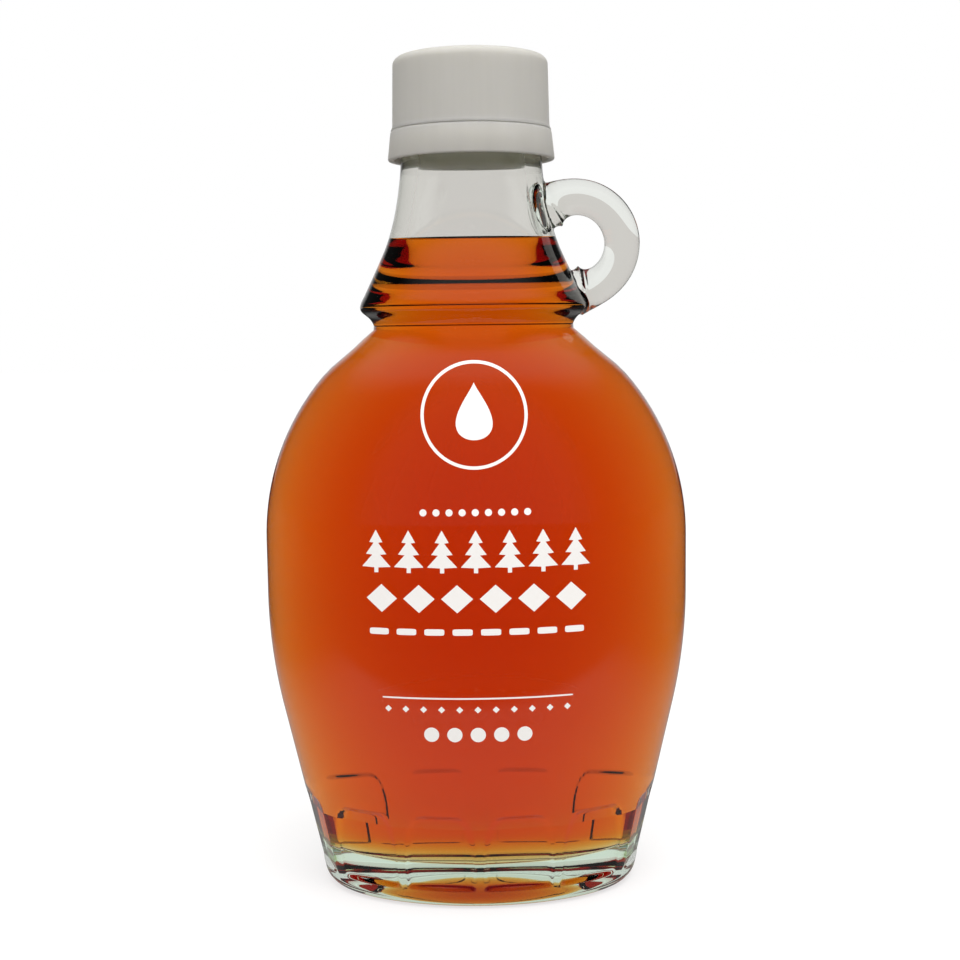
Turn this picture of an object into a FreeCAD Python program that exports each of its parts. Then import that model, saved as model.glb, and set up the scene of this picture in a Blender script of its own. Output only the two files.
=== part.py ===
import FreeCAD, Part
import math
import os

# Maple syrup bottle: an oval handled flask of clear glass, its syrup, and a moulded screw cap
# with its tamper band. Millimetres. Z is up, the origin is the middle of the base, the front
# faces -Y and the handle is on the +X side.

# Glass body
body_width = 77.0        # across the belly, along X
body_depth = 53.0        # across the belly, along Y
foot_width = 57.2        # where the tapered wall would meet the table, along X
foot_depth = 40.6        # the same, along Y
flatness = 0.3           # how much flatter the faces are than the ends; near 0 gives pointed ends
taper_top_z = 33.0       # top of the straight taper of the lower wall
belly_low_z = 54.0       # the belly is widest from here
belly_high_z = 64.0      # up to here, where the shoulder begins
wall = 2.6               # glass thickness of the body and neck
heel_radius = 2.2        # rounding of the outer base edge
floor_thickness = 7.4    # glass under the syrup
floor_radius = 5.0       # rounding of the inner base edge
pushup_height = 1.8      # hollow under the base
contact_ring_width = 3.6  # flat ring the bottle stands on

# Flat panels round the lower wall
panel_count = 12
panel_low_z = 3.9
panel_high_z = 16.2
panel_depth = 0.7        # how deep each flat panel is cut at its middle
land_width = 2.3         # glass left between two panels
panel_corner = 2.6       # rounding of a panel's top corners
cutter_length = 8.0      # how far a panel's cutter stands out past the wall

# Neck
body_height = 101.6      # up to the groove above the shoulder
neck_height = 47.0       # from the groove to the mouth
pinch_radius = 18.2
pinch_height = 0.9       # upright stretch of the groove
bead_rise = 3.6          # shoulder bead above the groove
bead_radius = 20.5
bead_round = 1.5
bead_slope = 0.45        # how much the bead's upper end has come in
waist_rise = 15.4        # where the cone of the neck turns steeper, above the groove
waist_radius = 15.3
finish_radius = 12.2     # outside of the mouth, under the cap
finish_step = 0.4        # slope above and below the lock ring
lock_ring_step = 0.3     # how far the ring that holds the tamper band stands out of the neck
lock_ring_height = 1.6
lock_ring_drop = 2.4     # middle of that ring below the cap's skirt
bore_radius = 9.4
throat_drop = 2.1        # the bore widens from here, below the lock ring's middle
neck_top_drop = 2.3      # the cone of the neck ends here, below the band
mouth_round = 0.9

# Handle: a ring of round glass that grows out of the neck
handle_bar_radius = 3.2
handle_reach = 30.3      # outermost point of the handle from the bottle's axis
handle_rise = 3.5        # lowest point of the ring above the groove
handle_drop = 3.5        # highest point of the ring below the tamper band

# Contents
headspace_height = 32.2  # from the mouth down to the syrup

# Cap and tamper band
cap_clearance = 0.5      # between the mouth and the skirt round it
cap_wall = 1.2
cap_top_thickness = 1.3
cap_dome = 0.8           # how much the middle of the cap stands over its rim
cap_corner = 1.9
skirt_flare = 0.5        # how much wider the skirt is at its lower edge
skirt_depth = 11.6       # of the skirt below the mouth
score_gap = 0.35         # slit between the skirt and the band
band_height = 5.2        # the band with its slit
band_flare = 0.6         # how much wider the band is at its lower edge
band_wall = 1.2
band_clearance = 0.2     # between the band's narrow end and the lock ring
bridge_count = 8
bridge_width = 1.0
bridge_root = 0.3        # how deep each bridge is set into the band

# Worked out from the sizes above
body_half_width = body_width / 2
body_half_depth = body_depth / 2
foot_half_width = foot_width / 2
foot_half_depth = foot_depth / 2
pinch_z = body_height
bead_z = pinch_z + bead_rise
waist_z = pinch_z + waist_rise
mouth_z = pinch_z + neck_height
fill_z = mouth_z - headspace_height
cap_top_z = mouth_z + cap_top_thickness + cap_dome
cap_top_radius = finish_radius + cap_clearance + cap_wall
cap_skirt_radius = cap_top_radius + skirt_flare
cap_skirt_z = mouth_z - skirt_depth
band_low_z = cap_skirt_z - band_height
band_low_radius = cap_skirt_radius + band_flare
lock_ring_radius = cap_skirt_radius - band_wall - band_clearance
lock_ring_z = cap_skirt_z - lock_ring_drop
neck_top_radius = lock_ring_radius - lock_ring_step
neck_top_z = band_low_z - neck_top_drop
handle_low_z = pinch_z + handle_rise
handle_high_z = band_low_z - handle_drop
handle_ring_radius = (handle_high_z - handle_low_z) / 2 - handle_bar_radius
handle_x = handle_reach - handle_ring_radius - handle_bar_radius
handle_z = (handle_low_z + handle_high_z) / 2
same_height = 0.001      # two heights closer than this are the same
up = FreeCAD.Vector(0, 0, 1)


def half_size(z, foot, belly, pinch):
    """Half of the body's width or depth at a height: a straight taper, a parabola that turns
    it upright, the upright belly, and the arc of the shoulder down to the pinch."""
    if z >= belly_high_z:
        rise = pinch_z - belly_high_z
        drop = belly - pinch
        radius = (rise ** 2 + drop ** 2) / (2 * drop)
        return belly - radius + math.sqrt(radius ** 2 - (z - belly_high_z) ** 2)
    if z >= belly_low_z:
        return belly
    bend = belly_low_z - taper_top_z
    slope = (belly - foot) / (taper_top_z + bend / 2)
    if z >= taper_top_z:
        return belly - slope * (belly_low_z - z) ** 2 / (2 * bend)
    return foot + slope * z


def half_width(z):
    return half_size(z, foot_half_width, body_half_width, pinch_radius)


def half_depth(z):
    return half_size(z, foot_half_depth, body_half_depth, pinch_radius)


def oval_tangent_angle():
    """Where the end arc of the oval meets its face arc, seen from the end arc's centre."""
    return math.atan2(1 + 2 * flatness, 2 * flatness * (1 + flatness))


def oval(half_x, half_y, z):
    """A four-arc oval: two end arcs and two flatter face arcs, tangent to each other. It is a
    circle where both halves are equal."""
    end_radius = half_y - flatness * (half_x - half_y)
    angle = oval_tangent_angle()
    join_x = half_x - end_radius + end_radius * math.cos(angle)
    join_y = end_radius * math.sin(angle)
    corners = [(join_x, -join_y), (join_x, join_y), (-join_x, join_y), (-join_x, -join_y)]
    middles = [(half_x, 0), (0, half_y), (-half_x, 0), (0, -half_y)]
    edges = []
    for i in range(4):
        start = FreeCAD.Vector(*corners[i], z)
        middle = FreeCAD.Vector(*middles[i], z)
        end = FreeCAD.Vector(*corners[(i + 1) % 4], z)
        edges.append(Part.Arc(start, middle, end).toShape())
    return Part.Wire(edges)


def body_loft(inset, low_z, high_z, steps):
    """The oval body between two heights, its wall moved inwards by inset."""
    sections = []
    for i in range(steps + 1):
        z = low_z + (high_z - low_z) * i / steps
        sections.append(oval(half_width(z) - inset, half_depth(z) - inset, z))
    return Part.makeLoft(sections, True, False)


def edges_at(shape, z):
    return [edge for edge in shape.Edges
            if abs(edge.BoundBox.ZMin - z) < same_height
            and abs(edge.BoundBox.ZMax - z) < same_height]


def revolved(edges):
    """A solid of revolution about Z from edges in the XZ plane whose ends are on the axis."""
    start = edges[0].firstVertex().Point
    end = edges[-1].lastVertex().Point
    edges = edges + [Part.makeLine(end, start)]
    face = Part.Face(Part.Wire(edges))
    return face.revolve(FreeCAD.Vector(0, 0, 0), up, 360)


def lines(points):
    return [Part.makeLine(FreeCAD.Vector(a[0], 0, a[1]), FreeCAD.Vector(b[0], 0, b[1]))
            for a, b in zip(points, points[1:])]


def curve(points):
    """A smooth curve through points (radius, z)."""
    spline = Part.BSplineCurve()
    spline.interpolate([FreeCAD.Vector(x, 0, z) for x, z in points])
    return spline.toShape()


def arc(start, middle, end):
    points = [FreeCAD.Vector(x, 0, z) for x, z in (start, middle, end)]
    return Part.Arc(*points).toShape()


def neck_outside():
    """The pinch, the shoulder bead, the curved cone and the mouth, as one turned shape."""
    groove_top = (pinch_radius, pinch_z + pinch_height)
    bead_low = (bead_radius - bead_round, bead_z - bead_round)
    bead_tip = (bead_radius, bead_z)
    bead_high = (bead_radius - bead_slope, bead_z + bead_round)
    ring_low = (neck_top_radius, lock_ring_z - lock_ring_height / 2 - finish_step)
    ring_out_low = (lock_ring_radius, lock_ring_z - lock_ring_height / 2)
    ring_out_high = (lock_ring_radius, lock_ring_z + lock_ring_height / 2)
    ring_high = (finish_radius, lock_ring_z + lock_ring_height / 2 + finish_step)
    lip_low = (finish_radius, mouth_z - mouth_round)
    lip_middle = (finish_radius - mouth_round * (1 - math.sqrt(0.5)),
                  mouth_z - mouth_round * (1 - math.sqrt(0.5)))
    lip_high = (finish_radius - mouth_round, mouth_z)
    edges = lines([(0, pinch_z), (pinch_radius, pinch_z), groove_top])
    edges += lines([groove_top, bead_low])
    edges += [arc(bead_low, bead_tip, bead_high)]
    edges += [curve([bead_high, (waist_radius, waist_z), (neck_top_radius, neck_top_z)])]
    edges += lines([(neck_top_radius, neck_top_z), ring_low, ring_out_low, ring_out_high,
                    ring_high, lip_low])
    edges += [arc(lip_low, lip_middle, lip_high)]
    edges += lines([lip_high, (0, mouth_z)])
    return revolved(edges)


def neck_inside():
    """The bore of the mouth, widening through the neck to the shoulder."""
    throat_z = lock_ring_z - throat_drop
    edges = lines([(0, pinch_z), (pinch_radius - wall, pinch_z)])
    edges += [curve([(pinch_radius - wall, pinch_z), (waist_radius - wall, waist_z),
                     (bore_radius, throat_z)])]
    edges += lines([(bore_radius, throat_z), (bore_radius, mouth_z), (0, mouth_z)])
    return revolved(edges)


def cavity():
    """Everything inside the glass, from its floor to the mouth."""
    lower = body_loft(wall, floor_thickness, pinch_z, 12)
    lower = lower.makeFillet(floor_radius, edges_at(lower, floor_thickness))
    return lower.fuse(neck_inside()).removeSplitter()


def handle():
    """The glass ring, standing in the XZ plane."""
    centre = FreeCAD.Vector(handle_x, 0, handle_z)
    return Part.makeTorus(handle_ring_radius, handle_bar_radius, centre, FreeCAD.Vector(0, 1, 0))


def oval_walk(half_x, half_y, steps):
    """Points and outward directions along one lap of the oval from the front middle, as
    (distance, x, y, direction), close enough together to measure along it."""
    edge_wire = oval(half_x, half_y, 0)
    lap = edge_wire.Length
    end_radius = half_y - flatness * (half_x - half_y)
    face_radius = half_y + (half_x - half_y) * (1 + 2 * flatness) / (2 * flatness)
    angle = oval_tangent_angle()
    face_arc = face_radius * (math.pi / 2 - angle)
    end_arc = end_radius * 2 * angle
    walk = []
    for i in range(steps):
        distance = lap * i / steps
        along = distance % (lap / 2)
        if along < face_arc:
            turn = along / face_radius
            x = face_radius * math.sin(turn)
            y = -(half_y - face_radius) - face_radius * math.cos(turn)
        elif along < face_arc + end_arc:
            turn = math.pi / 2 - angle + (along - face_arc) / end_radius
            x = half_x - end_radius + end_radius * math.sin(turn)
            y = -end_radius * math.cos(turn)
        else:
            turn = math.pi - (lap / 2 - along) / face_radius
            x = face_radius * math.sin(turn)
            y = (half_y - face_radius) - face_radius * math.cos(turn)
        if distance >= lap / 2:
            x, y, turn = -x, -y, turn + math.pi
        walk.append((distance, x, y, turn))
    return walk, lap


def panel_cutters():
    """One flat-faced cutter for each panel. They stand side by side round the foot with a
    land of glass between them, and lean back with the taper of the wall."""
    middle_z = (panel_low_z + panel_high_z) / 2
    half_x = half_width(middle_z)
    half_y = half_depth(middle_z)
    steps = panel_count * 2
    walk, lap = oval_walk(half_x, half_y, steps)
    half_panel = (lap / panel_count - land_width) / 2
    low = panel_low_z - middle_z
    high = panel_high_z - middle_z
    cutters = []
    for _, x, y, turn in walk[1::2]:
        outline = [(-half_panel, low), (half_panel, low), (half_panel, high - panel_corner)]
        round_mid = panel_corner * (1 - math.sqrt(0.5))
        right = Part.Arc(FreeCAD.Vector(half_panel, 0, high - panel_corner),
                         FreeCAD.Vector(half_panel - round_mid, 0, high - round_mid),
                         FreeCAD.Vector(half_panel - panel_corner, 0, high)).toShape()
        left = Part.Arc(FreeCAD.Vector(panel_corner - half_panel, 0, high),
                        FreeCAD.Vector(round_mid - half_panel, 0, high - round_mid),
                        FreeCAD.Vector(-half_panel, 0, high - panel_corner)).toShape()
        edges = lines(outline) + [right]
        edges += lines([(half_panel - panel_corner, high), (panel_corner - half_panel, high)])
        edges += [left] + lines([(-half_panel, high - panel_corner), (-half_panel, low)])
        cutter = Part.Face(Part.Wire(edges)).extrude(FreeCAD.Vector(0, -cutter_length, 0))
        outward_x = math.sin(turn)
        outward_y = -math.cos(turn)
        ahead = (half_width(panel_high_z) - half_width(panel_low_z)) * outward_x ** 2
        ahead += (half_depth(panel_high_z) - half_depth(panel_low_z)) * outward_y ** 2
        lean = math.degrees(math.atan2(ahead, panel_high_z - panel_low_z))
        cutter.translate(FreeCAD.Vector(0, panel_depth, 0))
        cutter.rotate(FreeCAD.Vector(0, 0, 0), FreeCAD.Vector(1, 0, 0), lean)
        cutter.rotate(FreeCAD.Vector(0, 0, 0), up, math.degrees(turn))
        cutter.translate(FreeCAD.Vector(x, y, middle_z))
        cutters.append(cutter)
    return cutters


def pushup():
    """The hollow under the base, inside the ring the bottle stands on."""
    inset = heel_radius + contact_ring_width
    low = oval(foot_half_width - inset, foot_half_depth - inset, 0)
    high_inset = inset + 2 * pushup_height
    high = oval(foot_half_width - high_inset, foot_half_depth - high_inset, pushup_height)
    return Part.makeLoft([low, high], True, True)


def glass_bottle(inside):
    body = body_loft(0, 0, pinch_z, 14)
    body = body.makeFillet(heel_radius, edges_at(body, 0))
    body = body.cut(Part.makeCompound(panel_cutters()))
    bottle = body.fuse(neck_outside()).fuse(handle())
    bottle = bottle.cut(inside)
    return bottle.cut(pushup())


def syrup(inside):
    size = 2 * body_width
    below = Part.makeBox(size, size, fill_z, FreeCAD.Vector(-size / 2, -size / 2, 0))
    return inside.common(below)


def screw_cap():
    """A domed cup over the mouth. Its underside rests on the rim of the glass."""
    corner_z = cap_top_z - cap_dome - cap_corner
    shoulder = (cap_top_radius, corner_z)
    corner_mid = (cap_top_radius - cap_corner * (1 - math.sqrt(0.5)),
                  corner_z + cap_corner * math.sqrt(0.5))
    rim = (cap_top_radius - cap_corner, cap_top_z - cap_dome)
    dome_radius = (rim[0] ** 2 + cap_dome ** 2) / (2 * cap_dome)
    half_rim = rim[0] / 2
    dome_mid = (half_rim, cap_top_z - dome_radius + math.sqrt(dome_radius ** 2 - half_rim ** 2))
    inner_low = (cap_skirt_radius - cap_wall, cap_skirt_z)
    inner_high = (cap_top_radius - cap_wall, mouth_z)
    edges = lines([(0, mouth_z), inner_high, inner_low, (cap_skirt_radius, cap_skirt_z), shoulder])
    edges += [arc(shoulder, corner_mid, rim), arc(rim, dome_mid, (0, cap_top_z))]
    return revolved(edges)


def tamper_band():
    """The flared ring under the skirt, with the small bridges that reach up to it."""
    high_z = cap_skirt_z - score_gap
    high_radius = cap_skirt_radius
    points = [(high_radius - band_wall, high_z), (band_low_radius - band_wall, band_low_z),
              (band_low_radius, band_low_z), (high_radius, high_z)]
    profile = Part.Face(Part.Wire(lines(points + points[:1])))
    band = profile.revolve(FreeCAD.Vector(0, 0, 0), up, 360)
    bridge_depth = cap_wall / 2
    bridge_x = cap_skirt_radius - 0.75 * cap_wall
    for i in range(bridge_count):
        corner = FreeCAD.Vector(bridge_x, -bridge_width / 2, high_z - bridge_root)
        bridge = Part.makeBox(bridge_depth, bridge_width, score_gap + bridge_root, corner)
        bridge.rotate(FreeCAD.Vector(0, 0, 0), up, 360 * (i + 0.5) / bridge_count)
        band = band.fuse(bridge)
    return band.removeSplitter()


def save(shape, node):
    solid = shape.Solids[0]
    print(node, "solids", len(shape.Solids), "valid", solid.isValid(), "volume ml",
          round(solid.Volume / 1000, 2))
    solid.exportStep("parts/" + node + ".step")


os.makedirs("parts", exist_ok=True)
inside = cavity()
save(glass_bottle(inside), "glass_bottle")
save(syrup(inside), "syrup")
save(screw_cap(), "screw_cap")
save(tamper_band(), "tamper_band")
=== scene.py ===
import math

import bmesh
import bpy
import numpy as np
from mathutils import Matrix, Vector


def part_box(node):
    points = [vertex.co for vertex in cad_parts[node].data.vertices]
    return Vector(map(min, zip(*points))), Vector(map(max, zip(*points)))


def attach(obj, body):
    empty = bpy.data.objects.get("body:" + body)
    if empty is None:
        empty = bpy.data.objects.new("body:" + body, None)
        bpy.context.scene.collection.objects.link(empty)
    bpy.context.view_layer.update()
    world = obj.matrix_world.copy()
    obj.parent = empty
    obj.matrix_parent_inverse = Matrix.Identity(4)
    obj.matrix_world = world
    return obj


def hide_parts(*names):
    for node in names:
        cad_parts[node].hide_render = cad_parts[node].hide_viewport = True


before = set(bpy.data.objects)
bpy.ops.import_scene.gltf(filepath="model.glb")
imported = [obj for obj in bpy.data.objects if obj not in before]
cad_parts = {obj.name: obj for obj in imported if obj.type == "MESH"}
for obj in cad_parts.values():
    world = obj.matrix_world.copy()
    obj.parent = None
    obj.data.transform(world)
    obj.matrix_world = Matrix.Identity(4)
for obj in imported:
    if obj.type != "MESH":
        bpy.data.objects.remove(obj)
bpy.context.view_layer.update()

# A handled flask of clear glass, its amber syrup, the milky screw cap with its tamper band, and
# the white screen print on its front. Metres, Z up, the front faces -Y, the handle is at +X.
MM = 0.001

# Sizes read from the frame
glass_low, glass_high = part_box("glass_bottle")
syrup_low, syrup_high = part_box("syrup")
cap_low, cap_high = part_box("screw_cap")
band_low, band_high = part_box("tamper_band")
PRINT_THICKNESS = 0.04 * MM
PRINT_SINK = 0.02 * MM             # the back of the print lies this deep in the glass
MOUTH_Z = glass_high.z
FLOOR_Z = syrup_low.z
FILL_Z = syrup_high.z
BELLY = (glass_high.x, glass_high.y - 1.5 * PRINT_THICKNESS)    # leaves room for the print

# Body of the flask
FOOT = (28.6 * MM, 20.3 * MM)      # where the tapered wall would meet the table
SQUARENESS = 0.060                 # how much squarer than an ellipse the oval is
WALL = 2.6 * MM
TAPER_TOP_Z = 33 * MM
BELLY_LOW_Z = 54 * MM
BELLY_HIGH_Z = 64 * MM
PINCH_Z = 101.6 * MM
PINCH_RADIUS = 18.2 * MM
SHOULDER_DIP = 0.7 * MM
SHOULDER_DIP_Z = 98.0 * MM
SHOULDER_DIP_SPAN = 2.6 * MM
HEEL = 2.2 * MM
INNER_HEEL = 4.4 * MM
PUSHUP = 2.6 * MM
RING_WIDTH = 4.5 * MM
FLOOR_RISE = 0.2 * MM
ROUND_SPAN = 8 * MM                # the inner wall turns from oval to round over this height

# Flat panels round the foot
PANELS = 12
COLUMNS = 28                       # mesh columns to each panel
CLUSTER = 0.72                     # how closely the columns gather at the lands between panels
PANEL_LOW_Z = 3.9 * MM
PANEL_HIGH_Z = 17.2 * MM
PANEL_DEPTH = 0.75 * MM
PANEL_EDGE = 0.50 * MM             # width of the rounded step at a panel's sides
PANEL_FADE = 0.42                  # how much gentler the step is at a panel's top
LAND = 2.3 * MM                    # width of the raised land between two panels
PANEL_CORNER = 2.8 * MM
PANEL_BACK = 6 * MM                # wall further behind a panel's plane isn't that panel's
PANEL_ASIDE = 3 * MM               # nor is wall further than this beside it

# Rows of the mesh up the inside of the flask
HEEL_ROWS = 12
WALL_ROWS = 32
NECK_ROWS = 14

# Neck
CONE_TOP_Z = 135 * MM              # the outline up to here is what the handle grows from
FINISH_RADIUS = 12.2 * MM
BORE_RADIUS = 9.4 * MM
OUTER_LIP = 0.9 * MM
INNER_LIP = 0.6 * MM

# Handle
HANDLE_RING = 8.4 * MM
HANDLE_BAR = 3.2 * MM
HANDLE_X = 18.7 * MM
HANDLE_Z = 116.7 * MM
ROOT_FLARE = 1.3 * MM
ROOT_REACH = 1.8 * MM
CREASE_OUT = 0.7 * MM              # the softened crease reaches this far from the neck's skin
CREASE_ROUND = 2.0 * MM            # and this far from the bar's
CREASE_PASSES = 6
HANDLE_COLUMNS = 72
HANDLE_ROWS = 100

# Syrup
OVERLAP = 0.12 * MM                # how far the syrup reaches into the wall
MENISCUS = 0.9 * MM
MENISCUS_REACH = 1.3 * MM
FILM_LOW, FILM_HIGH = 0.01 * MM, 0.03 * MM
SYRUP_COLUMNS = 240
SURFACE_ROWS = 24

# Cap and tamper band
CAP_TOP_RADIUS = 13.9 * MM
PLASTIC_WALL = 1.2 * MM
CAP_CORNER = 1.5 * MM
CAP_DOME = 0.8 * MM
CAP_STEP = 0.28 * MM               # how far the skirt's lowest part stands out
CAP_STEP_RISE = 0.75 * MM
CAP_EDGE = 0.08 * MM
BAND_EDGE = 0.12 * MM
CAP_GAP = 0.02 * MM                # under the ceiling, and where the step meets the skirt
CAP_MIDDLE = 0.4 * MM              # the last ring of points round the middle of the top
PLASTIC_COLUMNS = 192

# Refraction of soda-lime glass and of sugar syrup. The oval body takes a smaller step, a flat
# enough lens that the amber runs even to its edges.
GLASS_IOR = 1.52
SYRUP_IOR = 1.49
WETTED_IOR = 1.2

# How glass and syrup take out red, green and blue
GLASS_TINT = (0.10, 0.86, 0.30, 1)
GLASS_DENSITY = 8.0
SYRUP_TINT = (0.986, 0.655, 0.0, 1)
SYRUP_DENSITY = 210.0


# ---------------------------------------------------------------- shapes

def oval_terms(half_x, half_y):
    """The three cosine terms of the oval's support function, the distance from its centre to
    the tangent line that faces a direction: mean + second * cos(2a) + fourth * cos(4a)."""
    fourth = -SQUARENESS * (half_x - half_y)
    mean = (half_x + half_y) / 2 - fourth
    second = (half_y - half_x) / 2
    return mean, second, fourth


def oval(angle, half_x, half_y, inset=0.0):
    """Points of the oval that face the given directions, 0 for the front and a quarter turn
    for +X, moved inwards by inset: the support distance along the facing direction plus its
    slope along the tangent."""
    mean, second, fourth = oval_terms(half_x, half_y)
    reach = mean + second * np.cos(2 * angle) + fourth * np.cos(4 * angle) - inset
    slope = -2 * second * np.sin(2 * angle) - 4 * fourth * np.sin(4 * angle)
    x = reach * np.sin(angle) + slope * np.cos(angle)
    y = -reach * np.cos(angle) + slope * np.sin(angle)
    return x, y


def oval_walk(angle, half_x, half_y):
    """Distance along the oval from its front middle to the point that faces a direction: the
    integral of the support function plus its second derivative."""
    mean, second, fourth = oval_terms(half_x, half_y)
    return mean * angle - 1.5 * second * np.sin(2 * angle) - 3.75 * fourth * np.sin(4 * angle)


def body_half(z, axis):
    """Half of the body's width or depth at a height: a straight taper, a parabola that turns
    it upright, the belly, and the arc of the shoulder up to the groove, drawn in a little just
    under the groove."""
    belly = BELLY[axis]
    foot = FOOT[axis]
    bend = BELLY_LOW_Z - TAPER_TOP_Z
    slope = (belly - foot) / (TAPER_TOP_Z + bend / 2)
    rise = PINCH_Z - BELLY_HIGH_Z
    drop = belly - PINCH_RADIUS
    radius = (rise ** 2 + drop ** 2) / (2 * drop)
    over = np.clip(z - BELLY_HIGH_Z, 0, rise)
    shoulder = belly - radius + np.sqrt(radius ** 2 - over ** 2)
    shoulder = shoulder - SHOULDER_DIP * np.exp(-((z - SHOULDER_DIP_Z) / SHOULDER_DIP_SPAN) ** 2)
    curved = belly - slope * (BELLY_LOW_Z - z) ** 2 / (2 * bend)
    half = np.where(z < TAPER_TOP_Z, foot + slope * z, curved)
    return np.where(z > BELLY_LOW_Z, shoulder, half)


def smooth_line(points, count):
    """A smooth curve through points: each pair of neighbours is joined by a cubic whose end
    slopes are half of the step between the points on both sides (Catmull-Rom), sampled evenly."""
    p = np.array(points, float)
    p = np.vstack([2 * p[0] - p[1], p, 2 * p[-1] - p[-2]])
    t = np.linspace(0, len(p) - 3, count)
    i = np.minimum(t.astype(int), len(p) - 4)
    f = (t - i)[:, None]
    a, b, c, d = p[i], p[i + 1], p[i + 2], p[i + 3]
    return 0.5 * (2 * b + (c - a) * f + (2 * a - 5 * b + 4 * c - d) * f ** 2
                  + (3 * b - a - 3 * c + d) * f ** 3)


def foot_walk():
    """Half sizes of the oval at the panels' middle height, finely spaced facing directions
    over one lap, and the walk along the oval to each."""
    middle_z = np.array((PANEL_LOW_Z + PANEL_HIGH_Z) / 2)
    half_x, half_y = float(body_half(middle_z, 0)), float(body_half(middle_z, 1))
    fine = np.linspace(0, 2 * np.pi, 7201)
    return half_x, half_y, fine, oval_walk(fine, half_x, half_y)


def column_angles():
    """Facing direction of every mesh column: the columns stand at even shares of the foot's
    lap, pulled towards the middle of each land by a sine."""
    share = np.arange(PANELS * COLUMNS) / COLUMNS
    share = share - CLUSTER * np.sin(2 * np.pi * (share % 1)) / (2 * np.pi)
    _, _, fine, walk = foot_walk()
    return np.interp(share * walk[-1] / PANELS, walk, fine)


def step(value, low, high):
    """0 below low, 1 above high, and the smooth cubic 3t^2 - 2t^3 between."""
    t = np.clip((value - low) / (high - low), 0, 1)
    return t * t * (3 - 2 * t)


def press_panels(x, y, z):
    """Presses the flat panels into the foot. Each point is measured in its panel's own plane;
    inside the panel's rounded outline it moves onto the plane, and a smooth step joins the
    plane to the wall around it."""
    half_x, half_y, fine, walk = foot_walk()
    middle_z = (PANEL_LOW_Z + PANEL_HIGH_Z) / 2
    half_panel = (walk[-1] / PANELS - LAND) / 2
    facing = np.interp((np.arange(PANELS) + 0.5) * walk[-1] / PANELS, walk, fine)
    centre_x, centre_y = oval(facing, half_x, half_y)
    rise = PANEL_HIGH_Z - PANEL_LOW_Z
    ends = np.array([PANEL_LOW_Z, PANEL_HIGH_Z])
    lean_x = np.diff(body_half(ends, 0))[0] / rise
    lean_y = np.diff(body_half(ends, 1))[0] / rise
    for k in range(PANELS):
        out_x, out_y = math.sin(facing[k]), -math.cos(facing[k])
        lean = lean_x * out_x ** 2 + lean_y * out_y ** 2
        along = (x - centre_x[k]) * -out_y + (y - centre_y[k]) * out_x
        depth = (x - centre_x[k]) * out_x + (y - centre_y[k]) * out_y
        depth = depth - lean * (z - middle_z)
        near = (depth > -PANEL_BACK) & (np.abs(along) < half_panel + PANEL_ASIDE)
        corner_x = np.maximum(np.abs(along) - (half_panel - PANEL_CORNER), 0)
        top = (PANEL_HIGH_Z - z) * PANEL_FADE
        corner_z = np.maximum(PANEL_CORNER - top, 0)
        side = half_panel - np.abs(along)
        rounded = PANEL_CORNER - np.hypot(corner_x, corner_z)
        inside = np.where((corner_x > 0) & (corner_z > 0), rounded, np.minimum(side, top))
        inside = np.minimum(inside, z - PANEL_LOW_Z)
        amount = step(inside, -PANEL_EDGE / 2, PANEL_EDGE / 2)
        amount = np.where(near & (z > 0), amount, 0)
        move = np.maximum(depth + PANEL_DEPTH, 0) * amount
        x = x - move * out_x
        y = y - move * out_y
    return x, y


def grid_faces(rows, columns):
    """Quads between neighbouring rows of a grid whose columns close round."""
    row, column = np.meshgrid(np.arange(rows - 1), np.arange(columns), indexing="ij")
    a = row * columns + column
    b = row * columns + (column + 1) % columns
    return np.stack([a, b, b + columns, a + columns], -1).reshape(-1, 4)


def closed_mesh(name, x, y, z, materials, row_material=None, poles=None):
    """A closed skin from a grid of points whose columns close round. Fans join the first and
    the last row to two poles, which lie on the axis unless others are given."""
    rows, columns = x.shape
    grid = np.stack([x, y, z], -1).reshape(-1, 3)
    if poles is None:
        poles = np.array([[0, 0, z[0, 0]], [0, 0, z[-1, 0]]])
    points = np.vstack([grid, poles])
    quads = grid_faces(rows, columns)
    around = np.arange(columns)
    after = (around + 1) % columns
    first = np.stack([np.full(columns, rows * columns), after, around], -1)
    last_row = (rows - 1) * columns
    last = np.stack([np.full(columns, rows * columns + 1), last_row + around,
                     last_row + after], -1)
    sides = np.concatenate([quads.ravel(), first.ravel(), last.ravel()])
    starts = np.concatenate([np.arange(len(quads)) * 4,
                             len(quads) * 4 + np.arange(2 * columns) * 3])
    totals = np.concatenate([np.full(len(quads), 4), np.full(2 * columns, 3)])
    slots = np.zeros(len(totals), int)
    if row_material is not None:
        slots[:len(quads)] = np.repeat(row_material, columns)
        slots[len(quads):len(quads) + columns] = row_material[0]
        slots[len(quads) + columns:] = row_material[-1]
    return mesh_object(name, points, sides, starts, totals, slots, materials)


def mesh_object(name, points, sides, starts, totals, slots, materials, smooth=True):
    """Puts whole arrays of points and faces into a mesh in the scene."""
    mesh = bpy.data.meshes.new(name)
    mesh.vertices.add(len(points))
    mesh.vertices.foreach_set("co", np.ascontiguousarray(points, np.float32).ravel())
    mesh.loops.add(len(sides))
    mesh.loops.foreach_set("vertex_index", sides.astype(np.int32))
    mesh.polygons.add(len(totals))
    mesh.polygons.foreach_set("loop_start", starts.astype(np.int32))
    for material in materials:
        mesh.materials.append(material)
    mesh.polygons.foreach_set("material_index", slots.astype(np.int32))
    mesh.polygons.foreach_set("use_smooth", np.full(len(totals), smooth))
    mesh.update(calc_edges=True)
    mesh.validate()
    piece = bpy.data.objects.new(name, mesh)
    bpy.context.scene.collection.objects.link(piece)
    return piece


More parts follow.
